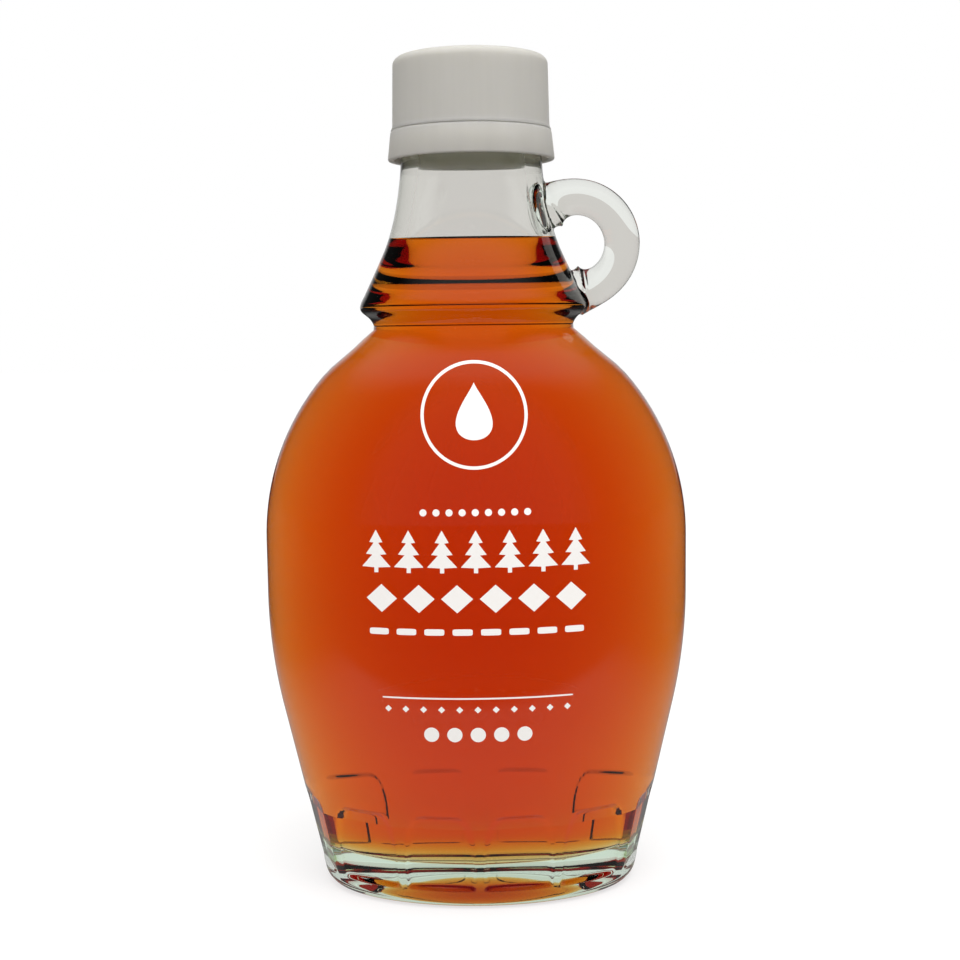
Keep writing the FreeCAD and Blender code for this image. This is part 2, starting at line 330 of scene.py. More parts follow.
def quad_mesh(name, points, quads, material, smooth=True):
    """A mesh of quads in one material."""
    return mesh_object(name, points, quads.ravel(), np.arange(len(quads)) * 4,
                       np.full(len(quads), 4), np.zeros(len(quads), int), [material], smooth)


def even_turns(count):
    """Directions at even steps round a whole turn."""
    return np.arange(count) / count * 2 * np.pi


def turned(angle, profile):
    """A grid of points from a profile of (radius, height) carried round the axis."""
    radius, z = profile[:, 0:1], profile[:, 1:2]
    x = radius * np.sin(angle)[None, :]
    y = -radius * np.cos(angle)[None, :]
    return x, y, np.broadcast_to(z, x.shape)


# ---------------------------------------------------------------- the flask

def neck_outside():
    """Outer line of the neck: groove, shoulder bead, hollow cone, lock ring and mouth."""
    points = [(18.2, 101.6), (18.2, 102.6), (18.9, 103.7), (20.2, 104.8), (20.55, 105.6),
              (20.3, 106.6), (19.6, 108.0), (18.4, 110.5), (16.9, 113.7), (15.5, 116.9),
              (14.35, 120.6), (13.45, 125.0), (12.85, 129.5), (12.7, 132.8)]
    cone = smooth_line(np.array(points) * MM, 64)
    lock_ring = np.array([(12.7, 133.2), (13.0, 133.8), (13.0, 135.3)]) * MM
    finish = np.array([(FINISH_RADIUS, 136.0 * MM), (FINISH_RADIUS, 142.0 * MM),
                       (FINISH_RADIUS, MOUTH_Z - 1.6 * MM)])
    turn = np.linspace(0, np.pi / 2, 6)
    lip = np.stack([FINISH_RADIUS - OUTER_LIP * (1 - np.cos(turn)),
                    MOUTH_Z - OUTER_LIP * (1 - np.sin(turn))], -1)
    inner = np.stack([BORE_RADIUS + INNER_LIP * (1 - np.sin(turn)),
                      MOUTH_Z - INNER_LIP * (1 - np.cos(turn))], -1)
    return np.vstack([cone, lock_ring, finish, lip, inner])


def cone_radius(z):
    """Outer radius of the neck at a height below its lock ring."""
    line = neck_outside()
    line = line[:np.argmax(line[:, 1] > CONE_TOP_Z)]
    return np.interp(z, line[:, 1], line[:, 0])


def neck_inside_radius(z):
    """Radius of the bore at a height: a smooth curve from the mouth to the shoulder."""
    points = [(9.4, 148.0), (9.4, 140.0), (9.45, 133.0), (9.9, 129.0), (10.7, 124.0),
              (11.6, 120.0), (12.7, 116.9), (14.0, 113.5), (15.0, 110.0), (15.6, 106.5),
              (15.75, 103.6), (15.6, 101.6)]
    line = smooth_line(np.array(points) * MM, 200)[::-1]
    return np.interp(z, line[:, 1], line[:, 0])


def inner_rows(top_z):
    """Heights and insets of the rows of the inner skin, from its floor's edge to top_z: the
    arc of the inner heel, then even steps up the wall and the neck."""
    turn = np.linspace(0, np.pi / 2, HEEL_ROWS)
    heel_z = FLOOR_Z + INNER_HEEL * (1 - np.cos(turn))
    heel_inset = INNER_HEEL * (1 - np.sin(turn))
    wall_z = np.linspace(FLOOR_Z + INNER_HEEL, PINCH_Z, WALL_ROWS)[1:]
    neck_z = np.linspace(PINCH_Z, top_z, NECK_ROWS)[1:]
    z = np.concatenate([heel_z, wall_z, neck_z])
    inset = np.concatenate([heel_inset, np.zeros(len(z) - HEEL_ROWS)])
    return z, inset


def inner_skin(angle, z, inset, grow=0.0):
    """Grid of the inner skin at the given heights: the oval of the body moved inwards by the
    wall, which turns into the round bore above the groove."""
    half_x = body_half(z, 0) - WALL - inset
    half_y = body_half(z, 1) - WALL - inset
    bore = neck_inside_radius(z)
    blend = step(z, PINCH_Z - ROUND_SPAN, PINCH_Z)
    half_x = half_x * (1 - blend) + bore * blend + grow
    half_y = half_y * (1 - blend) + bore * blend + grow
    x, y = oval(angle[None, :], half_x[:, None], half_y[:, None])
    return x, y, np.broadcast_to(z[:, None], x.shape)


def base_skin(angle):
    """Grid of the underside: a shallow dome, the flat ring that the flask stands on, and the
    rounded heel up to the wall."""
    ring_x, ring_y = FOOT[0] - HEEL - RING_WIDTH, FOOT[1] - HEEL - RING_WIDTH
    share = np.linspace(0.04, 1, 12)
    dome_z = PUSHUP * (1 - share ** 2) ** 1.5
    flat = np.linspace(0, 1, 5)[1:-1]
    turn = np.linspace(0, np.pi / 2, 10)
    heel_z = HEEL * (1 - np.cos(turn))
    half_x = np.concatenate([ring_x * share, ring_x + RING_WIDTH * flat,
                             body_half(heel_z, 0) - HEEL * (1 - np.sin(turn))])
    half_y = np.concatenate([ring_y * share, ring_y + RING_WIDTH * flat,
                             body_half(heel_z, 1) - HEEL * (1 - np.sin(turn))])
    z = np.concatenate([dome_z, np.zeros(len(flat)), heel_z])
    x, y = oval(angle[None, :], half_x[:, None], half_y[:, None])
    return x, y, np.broadcast_to(z[:, None], x.shape)


def wall_skin(angle):
    """Grid of the outer wall from the heel to the groove, with the panels pressed in."""
    low = np.linspace(HEEL, PANEL_LOW_Z + 0.8 * MM, 8)[1:]
    middle = np.linspace(PANEL_LOW_Z + 0.8 * MM, PANEL_HIGH_Z - PANEL_CORNER, 10)[1:]
    corner = np.linspace(PANEL_HIGH_Z - PANEL_CORNER, PANEL_HIGH_Z + 0.5 * MM, 18)[1:]
    high = np.linspace(PANEL_HIGH_Z + 0.5 * MM, PINCH_Z, 52)[1:-1]
    z = np.concatenate([low, middle, corner, high])
    x, y = oval(angle[None, :], body_half(z, 0)[:, None], body_half(z, 1)[:, None])
    z = np.broadcast_to(z[:, None], x.shape)
    x, y = press_panels(x, y, z)
    return x, y, z


def flask_shell(dry, wetted_neck, wetted_body):
    """The glass as one closed skin: from the middle of the underside out over the heel, up the
    wall and the neck, over the mouth, down the bore and the inner wall to the floor's middle.
    Rows under the syrup's contact line take the glass as it looks where syrup wets it: the
    body's material up the wall, and the neck's in the neck, the inner heel and the floor."""
    angle = column_angles()
    parts = [base_skin(angle), wall_skin(angle), turned(angle, neck_outside())]
    outer_rows = sum(part[0].shape[0] for part in parts)
    contact = FILL_Z + MENISCUS
    z, inset = inner_rows(contact)
    above = np.linspace(contact, MOUTH_Z - 1.0 * MM, 16)[1:]
    z = np.concatenate([z, above])[::-1]
    inset = np.concatenate([inset, np.zeros(len(above))])[::-1]
    parts.append(inner_skin(angle, z, inset))
    share = np.linspace(1, 0.04, 9)[1:]
    edge_x, edge_y = (grid[-1] for grid in parts[-1][:2])
    floor_z = FLOOR_Z + FLOOR_RISE * (1 - share ** 2) ** 2
    parts.append((share[:, None] * edge_x, share[:, None] * edge_y,
                  np.broadcast_to(floor_z[:, None], (len(share), len(edge_x)))))
    x, y, z_all = (np.vstack([part[i] for part in parts]) for i in range(3))
    slots = np.zeros(len(x) - 1, int)
    wetted_row = outer_rows + len(above)
    slots[wetted_row:] = 1
    slots[wetted_row + NECK_ROWS:-HEEL_ROWS - len(share)] = 2
    return closed_mesh("glass_flask", x, y, z_all, [dry, wetted_neck, wetted_body], slots)


def handle_surface(turn, side):
    """Point of the handle's bar, turn round its ring and side round the bar. The bar's radius
    grows by a flare that dies away exponentially with the ring's gap from the neck."""
    ring_x = HANDLE_X + HANDLE_RING * np.cos(turn)
    ring_z = HANDLE_Z + HANDLE_RING * np.sin(turn)
    gap = np.abs(ring_x - cone_radius(ring_z))
    radius = HANDLE_BAR + ROOT_FLARE * np.exp(-gap / ROOT_REACH)
    reach = HANDLE_RING + radius * np.cos(side)
    return HANDLE_X + reach * np.cos(turn), radius * np.sin(side), HANDLE_Z + reach * np.sin(turn)


def handle_end(edge):
    """Rings that close an end of the handle inside the neck's wall: the end's edge drawn in
    towards its centre, each ring laid on the middle of the wall."""
    centre = edge.mean(axis=1, keepdims=True)
    rings = []
    for inward in np.linspace(1, 0.12, 6)[1:]:
        ring = centre + (edge - centre) * inward
        middle = cone_radius(ring[2]) - WALL / 2
        ring[0] = np.sqrt(np.maximum(middle ** 2 - ring[1] ** 2, 0))
        rings.append(ring)
    return np.stack(rings, axis=1)


def handle_loop(dry):
    """The handle: a round bar carried along a ring in the XZ plane, which flares where it
    nears the neck. Each line along the bar ends in the middle of the neck's wall, and a dished
    end closes the bar there."""
    around = even_turns(HANDLE_COLUMNS)
    fine = np.linspace(-np.pi, np.pi, 2401)
    x, y, z = handle_surface(fine[:, None], around[None, :])
    in_wall = np.hypot(x, y) < cone_radius(z) - WALL / 2
    half = len(fine) // 2
    last = fine[half + np.argmax(in_wall[half:], axis=0)]
    first = fine[half - np.argmax(in_wall[:half + 1][::-1], axis=0)]
    share = np.linspace(0, 1, HANDLE_ROWS)[:, None]
    turn = first[None, :] * (1 - share) + last[None, :] * share
    bar = np.stack(handle_surface(turn, around[None, :]))
    grid = np.concatenate([handle_end(bar[:, 0])[:, ::-1], bar, handle_end(bar[:, -1])], axis=1)
    poles = np.stack([grid[:, 0].mean(axis=1), grid[:, -1].mean(axis=1)])
    return closed_mesh("handle_loop", *grid, [dry], poles=poles)


def face_outwards(piece):
    """Turns every face of a closed piece outwards."""
    work = bmesh.new()
    work.from_mesh(piece.data)
    bmesh.ops.recalc_face_normals(work, faces=work.faces)
    work.to_mesh(piece.data)
    work.free()


def join_handle(shell, loop):
    """Joins the handle to the shell as one glass body, then softens the crease between them as
    molten glass would: points near the crease are averaged with their neighbours."""
    face_outwards(shell)
    face_outwards(loop)
    union = shell.modifiers.new("handle", "BOOLEAN")
    union.operation = "UNION"
    union.solver = "MANIFOLD"
    union.object = loop
    graph = bpy.context.evaluated_depsgraph_get()
    joined = bpy.data.meshes.new_from_object(shell.evaluated_get(graph))
    shell.modifiers.clear()
    shell.data = joined
    bpy.data.objects.remove(loop)
    work = bmesh.new()
    work.from_mesh(joined)
    x, y, z = np.array([v.co for v in work.verts]).T
    neck_gap = np.hypot(x, y) - cone_radius(z)
    ring_gap = np.hypot(x - HANDLE_X, z - HANDLE_Z) - HANDLE_RING
    bar_gap = np.hypot(ring_gap, y) - HANDLE_BAR
    crease = (np.abs(neck_gap) < CREASE_OUT) & (bar_gap < CREASE_ROUND) & (x > 0)
    crease &= (z > PINCH_Z - CREASE_ROUND) & (z < CONE_TOP_Z - CREASE_ROUND)
    work.verts.ensure_lookup_table()
    near = [work.verts[i] for i in np.flatnonzero(crease)]
    for _ in range(CREASE_PASSES):
        bmesh.ops.smooth_vert(work, verts=near, factor=0.5, use_axis_x=True, use_axis_y=True,
                              use_axis_z=True)
    work.to_mesh(joined)
    work.free()
    joined.polygons.foreach_set("use_smooth", np.ones(len(joined.polygons), bool))
    return shell


def surface_line():
    """Line of the syrup's free surface from the wall to the axis: level, with a meniscus that
    climbs the wall and dies away exponentially."""
    edge = float(neck_inside_radius(np.array(FILL_Z + MENISCUS))) + OVERLAP
    away = np.concatenate([[0.0], np.geomspace(0.1, edge / MM - 0.6, SURFACE_ROWS - 1)]) * MM
    return np.stack([edge - away, FILL_Z + MENISCUS * np.exp(-away / MENISCUS_REACH)], -1)


def syrup_body(material):
    """The syrup: the inner skin grown just into the wall, closed over the floor and under the
    free surface."""
    angle = even_turns(SYRUP_COLUMNS)
    z, inset = inner_rows(FILL_Z + MENISCUS)
    skin_x, skin_y, skin_z = inner_skin(angle, z, inset, OVERLAP)
    skin_z = skin_z - OVERLAP * (1 - step(skin_z, FLOOR_Z, FLOOR_Z + INNER_HEEL))
    share = np.linspace(0.04, 1, 9)[:-1]
    floor_x = share[:, None] * skin_x[0]
    floor_y = share[:, None] * skin_y[0]
    floor_z = FLOOR_Z - OVERLAP + FLOOR_RISE * (1 - share ** 2) ** 2
    floor_z = np.broadcast_to(floor_z[:, None], floor_x.shape)
    top_x, top_y, top_z = turned(angle, surface_line()[1:])
    x = np.vstack([floor_x, skin_x, top_x])
    y = np.vstack([floor_y, skin_y, top_y])
    z = np.vstack([floor_z, skin_z, top_z])
    return closed_mesh("maple_syrup", x, y, z, [material])


def syrup_film(surface, underside):
    """The free surface as a film of its own, just over the syrup. Its upper side bends light
    as syrup under air does; its underside lies in the syrup and bends nothing."""
    angle = even_turns(SYRUP_COLUMNS)
    line = surface_line()[1:]
    below = line + np.array([0, FILM_LOW])
    above = line + np.array([0, FILM_HIGH])
    x, y, z = turned(angle, np.vstack([below[::-1], above]))
    slots = np.zeros(len(x) - 1, int)
    slots[:len(line)] = 1
    return closed_mesh("syrup_free_surface", x, y, z, [surface, underside], slots)


# ---------------------------------------------------------------- cap and band

def cap_shell(material):
    """The screw cap: a cup whose skirt widens downwards to a small sloped step, a rounded
    shoulder and a domed top."""
    angle = even_turns(PLASTIC_COLUMNS)
    foot_radius = cap_high.x
    skirt_radius = foot_radius - CAP_STEP
    rim_radius = CAP_TOP_RADIUS - CAP_CORNER
    rim_z = cap_high.z - CAP_DOME
    turn = np.linspace(0, np.pi / 2, 10)
    shoulder = np.stack([rim_radius + CAP_CORNER * np.cos(turn),
                         rim_z - CAP_CORNER * (1 - np.sin(turn))], -1)
    out = np.linspace(rim_radius, CAP_MIDDLE, 14)[1:]
    top = np.stack([out, rim_z + CAP_DOME * (1 - (out / rim_radius) ** 2)], -1)
    step_z = cap_low.z + CAP_STEP_RISE
    skirt = np.stack([np.linspace(skirt_radius, CAP_TOP_RADIUS, 20),
                      np.linspace(step_z, rim_z - CAP_CORNER, 20)], -1)[:-1]
    foot = np.array([(foot_radius - PLASTIC_WALL, cap_low.z), (foot_radius - CAP_EDGE, cap_low.z),
                     (foot_radius, cap_low.z + CAP_EDGE),
                     (skirt_radius + CAP_GAP, step_z - CAP_EDGE)])
    ceiling_z = MOUTH_Z + CAP_GAP
    inner_z = np.linspace(ceiling_z, cap_low.z, 12)[:-1]
    inner_r = np.interp(inner_z, [cap_low.z, MOUTH_Z], [foot_radius, CAP_TOP_RADIUS])
    inner = np.stack([inner_r - PLASTIC_WALL, inner_z], -1)
    under_r = np.linspace(CAP_MIDDLE, CAP_TOP_RADIUS - PLASTIC_WALL - 0.3 * MM, 8)
    under = np.stack([under_r, np.full(8, ceiling_z)], -1)
    profile = np.vstack([under, inner, foot, skirt, shoulder, top])
    x, y, z = turned(angle, profile)
    return closed_mesh("cap_shell", x, y, z, [material])


def band_ring(material):
    """The tamper band: a ring that flares downwards under the step of the cap."""
    angle = even_turns(PLASTIC_COLUMNS)
    low_r, high_r = band_high.x, cap_high.x
    low_z, high_z = band_low.z, cap_low.z - CAP_EDGE
    points = [(high_r - PLASTIC_WALL, high_z), (high_r - BAND_EDGE, high_z),
              (high_r + 0.02 * MM, high_z - BAND_EDGE), (high_r + 0.14 * MM, high_z - 0.6 * MM),
              (low_r, low_z + 2 * BAND_EDGE), (low_r - BAND_EDGE, low_z),
              (low_r - PLASTIC_WALL + BAND_EDGE, low_z), (low_r - PLASTIC_WALL, low_z + BAND_EDGE)]
    x, y, z = turned(angle, np.array(points)[::-1])
    rows, columns = x.shape
    grid = np.stack([x, y, z], -1).reshape(-1, 3)
    quads = grid_faces(rows, columns)
    around = np.arange(columns)
    after = (around + 1) % columns
    last = (rows - 1) * columns
    closing = np.stack([last + around, last + after, after, around], -1)
    quads = np.vstack([quads, closing])
    return quad_mesh("band_ring", grid, quads, material)


# ---------------------------------------------------------------- screen print

def facing(s, half_x, half_y):
    """Direction faced by the point at a distance s along the oval from its front middle:
    Newton's rule on the walk, whose slope is the oval's radius of curvature."""
    mean, second, fourth = oval_terms(half_x, half_y)
    angle = s / mean
    for _ in range(6):
        bend = mean - 3 * second * np.cos(2 * angle) - 15 * fourth * np.cos(4 * angle)
        angle = angle - (oval_walk(angle, half_x, half_y) - s) / bend
    return angle


def on_glass(s, z, out):
    """Points on the flask's front at a walk s from its middle and a height z, lifted by out."""
    half_x, half_y = body_half(z, 0), body_half(z, 1)
    x, y = oval(facing(s, half_x, half_y), half_x, half_y, -out)
    return np.stack([x, y, z], -1)


def ink(first, second, closed=False):
    """A thin slab of ink between two lines on the front, given as rows of (walk, height):
    grids of the outer and the inner face, sewn round their rims."""
    across = 4
    share = np.linspace(0, 1, across)[None, :, None]
    flat = first[:, None, :] * (1 - share) + second[:, None, :] * share
    outer = on_glass(flat[..., 0], flat[..., 1], PRINT_THICKNESS)
    inner = on_glass(flat[..., 0], flat[..., 1], -PRINT_SINK)
    loop = np.concatenate([outer, inner[:, ::-1]], axis=1)
    count, sides = loop.shape[:2]
    steps = count if closed else count - 1
    row, column = np.meshgrid(np.arange(steps), np.arange(sides), indexing="ij")
    after_row, after_column = (row + 1) % count, (column + 1) % sides
    quads = np.stack([row * sides + column, row * sides + after_column,
                      after_row * sides + after_column, after_row * sides + column], -1)
    quads = quads.reshape(-1, 4)
    if not closed:
        step_in = np.arange(across - 1)
        end = np.stack([step_in, step_in + 1, sides - 2 - step_in, sides - 1 - step_in], -1)
        quads = np.vstack([quads, end[:, ::-1], end + (count - 1) * sides])
    return loop.reshape(-1, 3), quads


def lens_mark(s, z, half_width, height, power):
    """A filled mark from its left end to its right: its half height falls off as
    (1 - |t|^power)^(1/power), so 1 gives a diamond, 2 an ellipse and more a rounded bar."""
    t = -np.cos(np.linspace(0.02, np.pi - 0.02, 33))
    rise = (1 - np.abs(t) ** power) ** (1 / power) * height / 2
    across = s + t * half_width
    return ink(np.stack([across, z - rise], -1), np.stack([across, z + rise], -1))


def ring_mark(s, z, radius, line):
    """A ring of the given radius and line width."""
    turn = np.linspace(0, 2 * np.pi, 145)[:-1]
    circle = np.stack([np.cos(turn), np.sin(turn)], -1)
    centre = np.array([s, z])
    return ink(centre + circle * (radius - line / 2), centre + circle * (radius + line / 2),
               closed=True)


def drop_mark(s, z, radius, height):
    """A filled drop: a round belly that narrows to a point at its top, its half width
    sin(a) * sin(a/2)^1.5 along the height cos(a)."""
    turn = np.linspace(0.03, np.pi - 0.03, 49)
    half = radius * np.sin(turn) * np.sin(turn / 2) ** 1.5 * 1.3
    up = z + height / 2 * np.cos(turn)
    return ink(np.stack([s - half, up], -1), np.stack([s + half, up], -1))


def tree_mark(s, z, half_width, height):
    """A filled fir tree of three tiers, from its top down to a short trunk."""
    down = np.linspace(0, 1, 61)
    tier = np.minimum(down / 0.86 * 3, 2.999)
    part = tier % 1
    half = half_width * (0.35 + 0.2 * np.floor(tier)) * part / 0.75 + 0.02 * MM
    half = half + np.floor(tier) * half_width * 0.12 * (1 - part)
    half = np.where(down > 0.87, half_width * 0.14, half)
    up = z + height / 2 - down * height
    return ink(np.stack([s - half, up], -1), np.stack([s + half, up], -1))


def mark_row(count, pitch, mark, *sizes):
    """The same mark count times, side by side about the front's middle."""
    return [mark((i - (count - 1) / 2) * pitch, *sizes) for i in range(count)]


def screen_print(material):
    """The print on the front, from top to bottom: a ring with a drop, a row of dots, a row of
    fir trees over a row of diamonds, a line of dashes, a rule over small diamonds, and five
    spots."""
    marks = [ring_mark(0, 87.4 * MM, 8.8 * MM, 0.55 * MM),
             drop_mark(0, 88.0 * MM, 3.4 * MM, 9.6 * MM)]
    marks += mark_row(9, 2.2 * MM, lens_mark, 71.2 * MM, 0.6 * MM, 1.2 * MM, 2)
    marks += mark_row(7, 5.7 * MM, tree_mark, 64.6 * MM, 2.5 * MM, 7.2 * MM)
    marks += mark_row(6, 6.5 * MM, lens_mark, 56.6 * MM, 2.7 * MM, 4.8 * MM, 1)
    marks += mark_row(8, 4.8 * MM, lens_mark, 50.9 * MM, 1.7 * MM, 1.1 * MM, 6)
    marks += mark_row(1, 0, lens_mark, 39.3 * MM, 16.5 * MM, 0.28 * MM, 12)
    marks += mark_row(11, 3.1 * MM, lens_mark, 37.3 * MM, 0.6 * MM, 1.2 * MM, 1)
    marks += mark_row(5, 4.0 * MM, lens_mark, 32.8 * MM, 1.3 * MM, 2.6 * MM, 2)
    points, quads, count = [], [], 0
    for mark_points, mark_quads in marks:
        points.append(mark_points)
        quads.append(mark_quads + count)
        count += len(mark_points)
    points, quads = np.vstack(points), np.vstack(quads)
    return quad_mesh("screen_print", points, quads, material, smooth=False)


# ---------------------------------------------------------------- materials

def linear(code):
    """An sRGB hex colour as linear red, green, blue and alpha."""
    values = [int(code[i:i + 2], 16) / 255 for i in (0, 2, 4)]
    return [v / 12.92 if v <= 0.04045 else ((v + 0.055) / 1.055) ** 2.4 for v in values] + [1]


def add(tree, kind, settings=None, **inputs):
    """Adds a node with its settings, and sets or links its inputs. An input is named with _
    for a space, or with _ and its number, and a node given as a value links its first output."""
    node = tree.nodes.new(kind)
    for key, value in (settings or {}).items():
        setattr(node, key, value)
    for key, value in inputs.items():
        name = int(key[1:]) if key[1:].isdigit() else key.replace("_", " ")
        socket = node.inputs[name]
        if isinstance(value, bpy.types.Node):
            value = value.outputs[0]
        if isinstance(value, bpy.types.NodeSocket):
            tree.links.new(value, socket)
        else:
            socket.default_value = value
    return node


def new_material(name):
    """An empty node material and its tree."""
    made = bpy.data.materials.new(name)
    made.use_nodes = True
    made.node_tree.nodes.clear()
    return made, made.node_tree


def soda_lime_glass():
    """Blown soda-lime container glass: smooth and clear, faintly green where it is thick,
    with the slow waviness that the mould leaves."""
    made, tree = new_material("soda_lime_glass")
    place = add(tree, "ShaderNodeTexCoord")
    wave = add(tree, "ShaderNodeTexNoise", Vector=place.outputs["Object"], Scale=60.0, Detail=1.0)
    bump = add(tree, "ShaderNodeBump", Height=wave.outputs["Fac"], Strength=0.05,
               Distance=0.4 * MM)
    glass = add(tree, "ShaderNodeBsdfPrincipled", Base_Color=(1, 1, 1, 1), Roughness=0.0,
                IOR=GLASS_IOR, Transmission_Weight=1.0, Normal=bump.outputs["Normal"])
    tint = add(tree, "ShaderNodeVolumeAbsorption", Color=GLASS_TINT, Density=GLASS_DENSITY)
    add(tree, "ShaderNodeOutputMaterial", Surface=glass.outputs[0], Volume=tint.outputs[0])
    return made


def clear_liquid(name, ior):
    """A smooth clear boundary without colour of its own, as between glass and syrup or between
    syrup and air: it bends light by the ratio of their indices."""
    made, tree = new_material(name)
    clear = add(tree, "ShaderNodeBsdfPrincipled", Base_Color=(1, 1, 1, 1), Roughness=0.0,
                IOR=ior, Transmission_Weight=1.0)
    add(tree, "ShaderNodeOutputMaterial", Surface=clear.outputs[0])
    return made


def amber_syrup():
    """Boiled maple sap: clear, yellow where it is thin and deep amber red where it is deep,
    because it takes out blue fastest and green next. Its own skin bends nothing: the wetted
    faces of the glass and the film on the free surface do that."""
    made, tree = new_material("maple_syrup")
    syrup = add(tree, "ShaderNodeBsdfPrincipled", Base_Color=(1, 1, 1, 1), Roughness=0.0,
                IOR=1.0, Transmission_Weight=1.0)
    tint = add(tree, "ShaderNodeVolumeAbsorption", Color=SYRUP_TINT, Density=SYRUP_DENSITY)
    add(tree, "ShaderNodeOutputMaterial", Surface=syrup.outputs[0], Volume=tint.outputs[0])
    return made


def screen_enamel():
    """White ceramic enamel, screen printed and fired onto the glass: opaque, smooth and
    slightly glossy."""
    made, tree = new_material("white_screen_enamel")
    place = add(tree, "ShaderNodeTexCoord")
    grain = add(tree, "ShaderNodeTexNoise", Vector=place.outputs["Object"], Scale=1500.0)
    tone = add(tree, "ShaderNodeMix", {"data_type": "RGBA"}, Factor=grain.outputs["Fac"],
               _6=linear("FFFDFA"), _7=linear("FBF7F2"))
    enamel = add(tree, "ShaderNodeBsdfPrincipled", Base_Color=tone.outputs[2], Roughness=0.35,
                 IOR=1.5)
    add(tree, "ShaderNodeOutputMaterial", Surface=enamel.outputs[0])
    return made


def natural_polypropylene():
    """Moulded natural polypropylene: milky, light passes through its wall and lights its
    inside, with a satin skin and faint upright flow lines."""
    made, tree = new_material("natural_polypropylene")
    place = add(tree, "ShaderNodeTexCoord")
    drawn = add(tree, "ShaderNodeMapping", Vector=place.outputs["Object"], Scale=(1, 1, 0.05))
    flow = add(tree, "ShaderNodeTexNoise", Vector=drawn.outputs[0], Scale=500.0, Detail=2.0)
    tone = add(tree, "ShaderNodeMix", {"data_type": "RGBA"}, Factor=flow.outputs["Fac"],
               _6=linear("DAD7CF"), _7=linear("E2DFD7"))
    grain = add(tree, "ShaderNodeTexNoise", Vector=place.outputs["Object"], Scale=2500.0)
    bump = add(tree, "ShaderNodeBump", Height=grain.outputs["Fac"], Strength=0.15,
               Distance=0.02 * MM)
    plastic = add(tree, "ShaderNodeBsdfPrincipled", Base_Color=tone.outputs[2], Roughness=0.42,
                  IOR=1.49, Subsurface_Weight=0.8, Subsurface_Radius=(1.0, 1.0, 0.9),
                  Subsurface_Scale=2.5 * MM, Transmission_Weight=0.25,
                  Normal=bump.outputs["Normal"])
    add(tree, "ShaderNodeOutputMaterial", Surface=plastic.outputs[0])
    return made


# ---------------------------------------------------------------- stage

EASED = {"interpolation_type": "SMOOTHSTEP"}
TIMES = {"operation": "MULTIPLY"}
PLUS = {"operation": "ADD"}
TIMES_PLUS = {"operation": "MULTIPLY_ADD"}


def ray_kinds(tree):
    """Levels of 0 or 1 for what looks at the stage: the camera, light through glass, a mirror
    image in a surface, and soft light."""
    rays = add(tree, "ShaderNodeLightPath").outputs
    through = rays["Is Transmission Ray"]
    mirror = add(tree, "ShaderNodeMath", {"operation": "SUBTRACT", "use_clamp": True},
                 _0=rays["Is Glossy Ray"], _1=through)
    return rays["Is Camera Ray"], through, mirror, rays["Is Diffuse Ray"]


def floor_material():
    """White table: paint that takes a faint shadow, lit up to white for the camera. Through
    glass it is darker towards the front; mirror images show it bright only behind and near
    the flask."""
    made, tree = new_material("white_table")
    camera_ray, through, mirror, soft = ray_kinds(tree)
    place = add(tree, "ShaderNodeTexCoord")
    split = add(tree, "ShaderNodeSeparateXYZ", Vector=place.outputs["Object"])
    back = split.outputs["Y"]
    near = add(tree, "ShaderNodeMapRange", EASED, Value=back, From_Min=-0.25, From_Max=0.12,
               To_Min=0.24, To_Max=0.86)
    far = add(tree, "ShaderNodeMapRange", EASED, Value=back, From_Min=0.22, From_Max=0.45,
              To_Min=0.0, To_Max=0.04)
    seen_through = add(tree, "ShaderNodeMath", PLUS, _0=near, _1=far)
    behind = add(tree, "ShaderNodeMapRange", EASED, Value=back, From_Min=-0.11, From_Max=-0.09,
                 To_Min=0.0, To_Max=0.34)
    aside = add(tree, "ShaderNodeMath", {"operation": "ABSOLUTE"}, _0=split.outputs["X"])
    beside = add(tree, "ShaderNodeMapRange", EASED, Value=aside, From_Min=0.08, From_Max=0.18,
                 To_Min=1.0, To_Max=0.0)
    mirrored = add(tree, "ShaderNodeMath", TIMES_PLUS, _0=behind, _1=beside, _2=0.04)
    glow = add(tree, "ShaderNodeMath", TIMES, _0=through, _1=seen_through)
    glow = add(tree, "ShaderNodeMath", TIMES_PLUS, _0=mirror, _1=mirrored, _2=glow)
    glow = add(tree, "ShaderNodeMath", TIMES_PLUS, _0=soft, _1=0.8, _2=glow)
    unseen = add(tree, "ShaderNodeEmission", Color=(1, 0.98, 0.965, 1), Strength=glow)
    shine = add(tree, "ShaderNodeEmission", Color=(1, 1, 1, 1), Strength=0.66)
    paint = add(tree, "ShaderNodeBsdfDiffuse", Color=(0.36, 0.355, 0.35, 1))
    seen = add(tree, "ShaderNodeAddShader", _0=shine, _1=paint)
    both = add(tree, "ShaderNodeMixShader", _0=camera_ray, _1=unseen, _2=seen)
    add(tree, "ShaderNodeOutputMaterial", Surface=both)
    return made


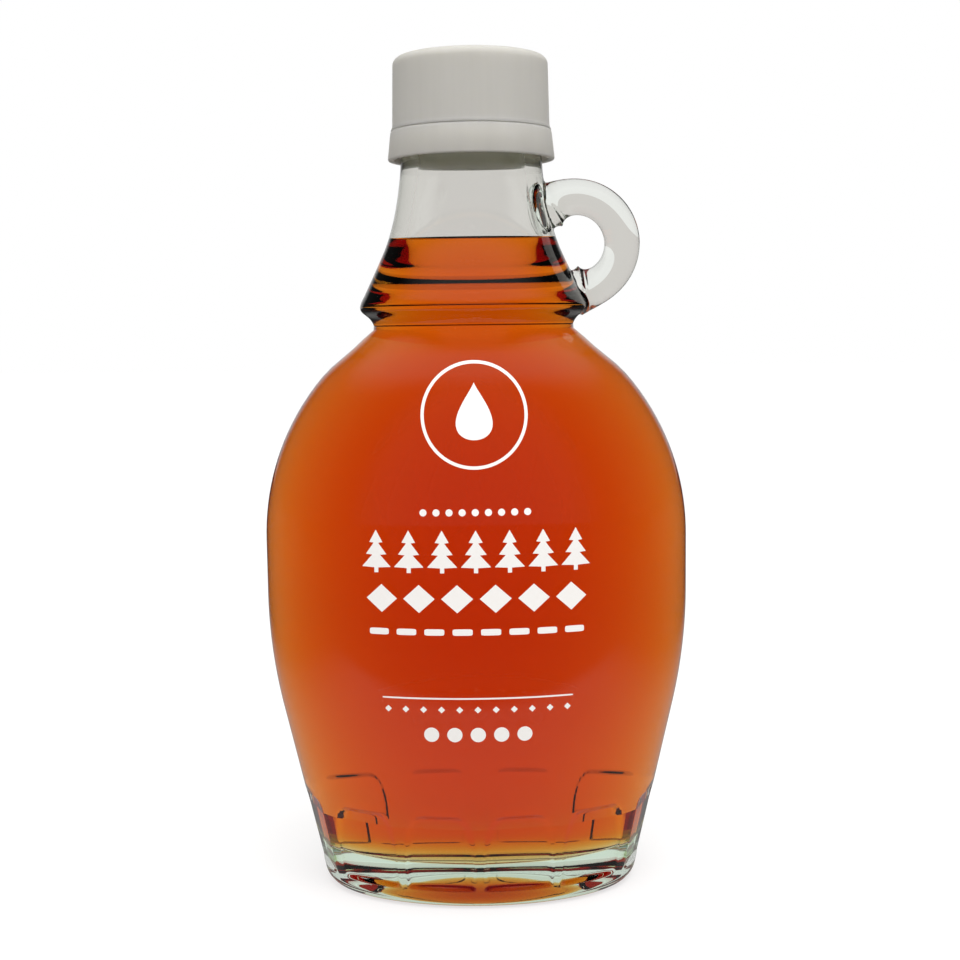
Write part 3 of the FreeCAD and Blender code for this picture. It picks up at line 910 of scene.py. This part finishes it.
def world_light():
    """Soft even light. The camera sees white. Through glass the studio is pale grey, darker
    towards the front, where the room is; mirror images show the pale wall behind, a little of
    the room in front and a soft light overhead."""
    world = bpy.data.worlds.new("studio")
    bpy.context.scene.world = world
    world.use_nodes = True
    tree = world.node_tree
    tree.nodes.clear()
    camera_ray, through, mirror, soft = ray_kinds(tree)
    place = add(tree, "ShaderNodeTexCoord")
    split = add(tree, "ShaderNodeSeparateXYZ", Vector=place.outputs["Generated"])
    back = split.outputs["Y"]
    seen_through = add(tree, "ShaderNodeMapRange", EASED, Value=back, From_Min=-0.75,
                       From_Max=0.0, To_Min=0.24, To_Max=0.69)
    wall = add(tree, "ShaderNodeMapRange", EASED, Value=back, From_Min=0.82, From_Max=0.97,
               To_Min=0.025, To_Max=0.60)
    room = add(tree, "ShaderNodeMapRange", EASED, Value=back, From_Min=-0.85, From_Max=-0.60,
               To_Min=0.12, To_Max=0.0)
    overhead = add(tree, "ShaderNodeMapRange", EASED, Value=split.outputs["Z"], From_Min=0.55,
                   From_Max=0.80, To_Min=0.0, To_Max=0.5)
    mirrored = add(tree, "ShaderNodeMath", PLUS, _0=wall, _1=room)
    mirrored = add(tree, "ShaderNodeMath", PLUS, _0=mirrored, _1=overhead)
    level = add(tree, "ShaderNodeMath", PLUS, _0=camera_ray, _1=soft)
    level = add(tree, "ShaderNodeMath", TIMES_PLUS, _0=through, _1=seen_through, _2=level)
    level = add(tree, "ShaderNodeMath", TIMES_PLUS, _0=mirror, _1=mirrored, _2=level)
    warm = add(tree, "ShaderNodeMix", {"data_type": "RGBA"}, Factor=through, _6=(1, 1, 1, 1),
               _7=(1.0, 0.94, 0.91, 1))
    studio = add(tree, "ShaderNodeBackground", Color=warm.outputs[2], Strength=level)
    add(tree, "ShaderNodeOutputWorld", Surface=studio)


def table():
    """A level white floor under the flask."""
    size = 3.0
    corners = np.array([(-size, -size, 0), (size, -size, 0), (size, size, 0), (-size, size, 0)])
    quad_mesh("table", corners, np.array([[0, 1, 2, 3]]), floor_material())


def softbox(name, place, size, power):
    """A square area lamp that faces the middle of the flask. No glass or mirror shows it."""
    lamp = bpy.data.lights.new(name, "AREA")
    lamp.shape = "SQUARE"
    lamp.size = size
    lamp.energy = power
    stand = bpy.data.objects.new(name, lamp)
    stand.location = place
    aim = np.array([0, 0, 0.08]) - np.array(place)
    stand.rotation_euler = (math.acos(-aim[2] / np.linalg.norm(aim)), 0,
                            math.atan2(-aim[0], aim[1]))
    stand.visible_glossy = False
    stand.visible_transmission = False
    bpy.context.scene.collection.objects.link(stand)


def camera():
    """A product view from a little above the middle, pitched down, and rolled by under a
    degree."""
    lens = bpy.data.cameras.new("camera")
    lens.sensor_width = 36
    lens.lens = 56.5
    lens.clip_start = 0.01
    view = bpy.data.objects.new("camera", lens)
    view.location = (1.2 * MM, -276 * MM, 103.2 * MM)
    pitch_down, roll = 6.06, 0.74
    view.rotation_euler = (math.radians(90 - pitch_down), math.radians(roll), 0)
    bpy.context.scene.collection.objects.link(view)
    bpy.context.scene.camera = view


# ---------------------------------------------------------------- build

bpy.context.scene.view_settings.view_transform = "Standard"
camera()
world_light()
table()
softbox("overhead", (0.10, -0.30, 0.75), 0.5, 3.0)

dry_glass = soda_lime_glass()
wet_neck = clear_liquid("wetted_neck_glass", GLASS_IOR / SYRUP_IOR)
wet_body = clear_liquid("wetted_body_glass", WETTED_IOR)
plastic = natural_polypropylene()

flask = join_handle(flask_shell(dry_glass, wet_neck, wet_body), handle_loop(dry_glass))
syrup = syrup_body(amber_syrup())
film = syrup_film(clear_liquid("maple_syrup_free_surface", SYRUP_IOR),
                  clear_liquid("maple_syrup_film_underside", 1.0))
cap = cap_shell(plastic)
band = band_ring(plastic)
label = screen_print(screen_enamel())
pieces = (flask, syrup, film, cap, band, label)
for piece in pieces:
    face_outwards(piece)
    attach(piece, "root")
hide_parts("glass_bottle")
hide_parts("syrup")
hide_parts("screw_cap")
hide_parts("tamper_band")

bpy.context.view_layer.update()
